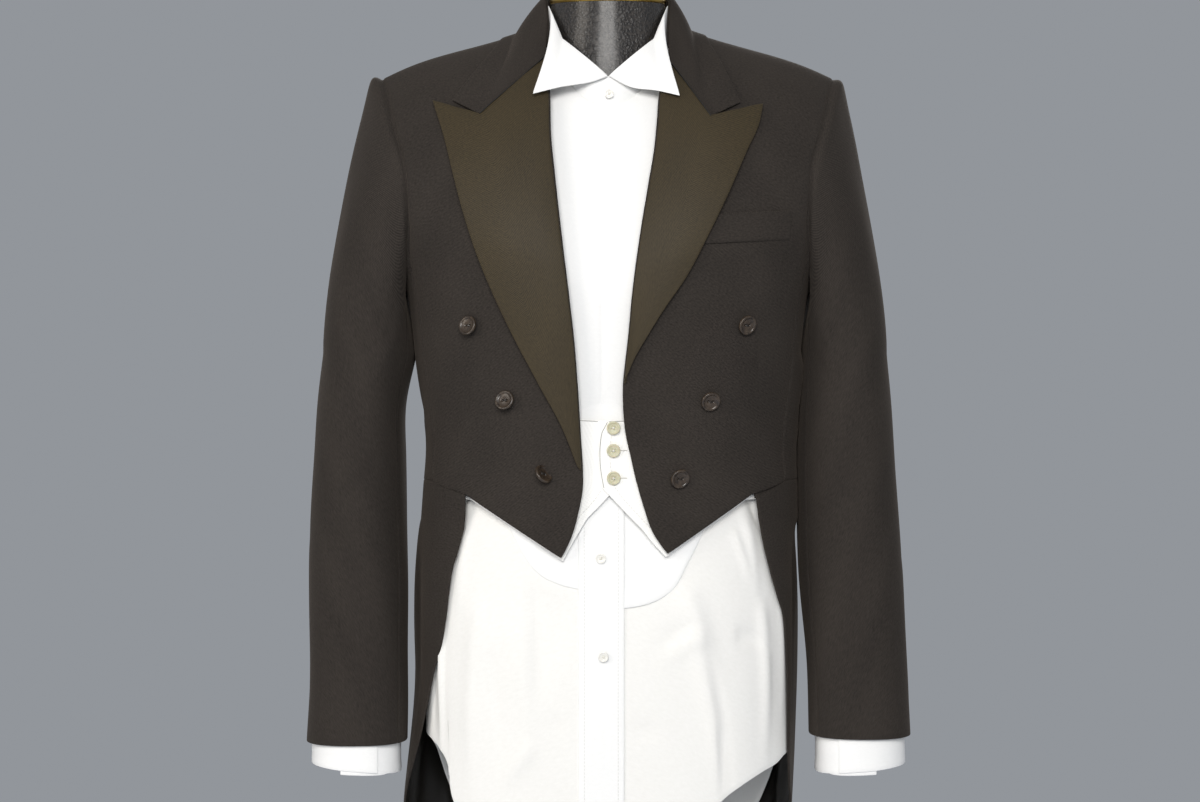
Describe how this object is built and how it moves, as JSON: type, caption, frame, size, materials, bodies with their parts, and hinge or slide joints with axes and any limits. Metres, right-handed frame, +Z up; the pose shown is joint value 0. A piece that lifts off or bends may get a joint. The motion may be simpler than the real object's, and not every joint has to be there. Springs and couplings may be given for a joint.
{
  "type": "tailcoat tuxedo on limbless dress form",
  "caption": "Evening tailcoat with satin peak lapels, worn open over a white waistcoat and wing-collar shirt, standing on a limbless dress form.",
  "frame": {"origin": "centre of the underside of the stand's round base", "axes": "+Z up, -Y towards the front of the coat, +X towards the wearer's left"},
  "size_m": [0.578, 0.33, 1.4866],
  "materials": {
    "black_wool": "matte",
    "black_satin": "satin",
    "white_shirting": "matte",
    "white_pique": "matte",
    "dark_button": "gloss",
    "cream_button": "gloss",
    "white_button": "satin",
    "form_cover": "grained",
    "brass_trim": "polished",
    "stand_metal": "satin"
  },
  "bodies": {
    "root": {"back_button_left": "dark_button", "back_button_right": "dark_button", "back_left": "black_wool", "back_right": "black_wool", "base": "stand_metal", "bosom_left": "white_shirting", "bosom_right": "white_shirting", "breast_welt": "black_wool", "coat_button_left_1": "dark_button", "coat_button_left_2": "dark_button", "coat_button_left_3": "dark_button", "coat_button_right_1": "dark_button", "coat_button_right_2": "dark_button", "coat_button_right_3": "dark_button", "collar_band": "white_shirting", "collar_button": "white_button", "collar_leaf": "black_wool", "collar_stand": "black_wool", "cuff_left": "white_shirting", "cuff_right": "white_shirting", "forepart_left": "black_wool", "forepart_right": "black_wool", "form_torso": "form_cover", "lapel_left": "black_satin", "lapel_right": "black_satin", "neck_cap": "form_cover", "neck_ring": "brass_trim", "placket": "white_shirting", "pole": "stand_metal", "shirt_back_left": "white_shirting", "shirt_back_right": "white_shirting", "shirt_button_1": "white_button", "shirt_button_2": "white_button", "shirt_front_left": "white_shirting", "shirt_front_right": "white_shirting", "shirt_sleeve_left": "white_shirting", "shirt_sleeve_right": "white_shirting", "side_body_left": "black_wool", "side_body_right": "black_wool", "tail_skirt_left": "black_wool", "tail_skirt_right": "black_wool", "top_sleeve_left": "black_wool", "top_sleeve_right": "black_wool", "under_sleeve_left": "black_wool", "under_sleeve_right": "black_wool", "waistcoat_button_1": "cream_button", "waistcoat_button_2": "cream_button", "waistcoat_button_3": "cream_button", "waistcoat_left": "white_pique", "waistcoat_neck_strap": "white_pique", "waistcoat_right": "white_pique", "waistcoat_waist_strap": "white_pique", "wing_left": "white_shirting", "wing_right": "white_shirting"}
  },
  "joints": []
}
